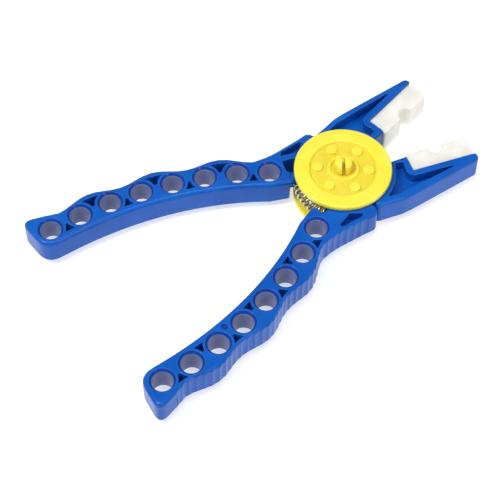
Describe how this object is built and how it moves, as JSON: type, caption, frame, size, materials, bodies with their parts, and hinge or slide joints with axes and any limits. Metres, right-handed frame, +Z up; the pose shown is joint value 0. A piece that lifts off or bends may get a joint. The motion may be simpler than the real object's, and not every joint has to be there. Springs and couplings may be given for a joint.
{
  "type": "snap setter pliers",
  "caption": "Spring opened hand pliers of two flipped lap jointed levers with perforated grips and grooved jaw inserts, for pressing snap fasteners.",
  "frame": {"origin": "pivot axis where it meets the resting plane, on the flat head of the rivet", "axes": "+X from the pivot toward the jaws along the line between them, +Y toward the back lever's handle, +Z up the pivot axis"},
  "size_m": [0.1557, 0.0922, 0.0202],
  "materials": {
    "lever_plastic": "satin moulded blue",
    "insert_plastic": "milky translucent, slightly waxy",
    "disc_plastic": "glossy moulded yellow",
    "spring_steel": "bright drawn wire"
  },
  "bodies": {
    "front_half": {"lever_front": "lever_plastic", "insert_front": "insert_plastic", "return_spring": "spring_steel"},
    "back_half": {"lever_back": "lever_plastic", "insert_back": "insert_plastic"},
    "pivot_set": {"disc_top": "disc_plastic", "disc_bottom": "disc_plastic", "split_rivet": "disc_plastic"}
  },
  "joints": [
    {"name": "jaw_hinge", "type": "hinge", "parent": "front_half", "child": "back_half", "pos_m": [0, 0, 0.008], "axis": [0, 0, 1], "range_deg": [0, 28], "stiffness_Nm_per_rad": 0.4, "springref_deg": -18.33, "deforming": ["return_spring"]},
    {"name": "pivot_spin", "type": "hinge", "parent": "front_half", "child": "pivot_set", "pos_m": [0, 0, 0.008], "axis": [0, 0, 1], "continuous": true}
  ]
}
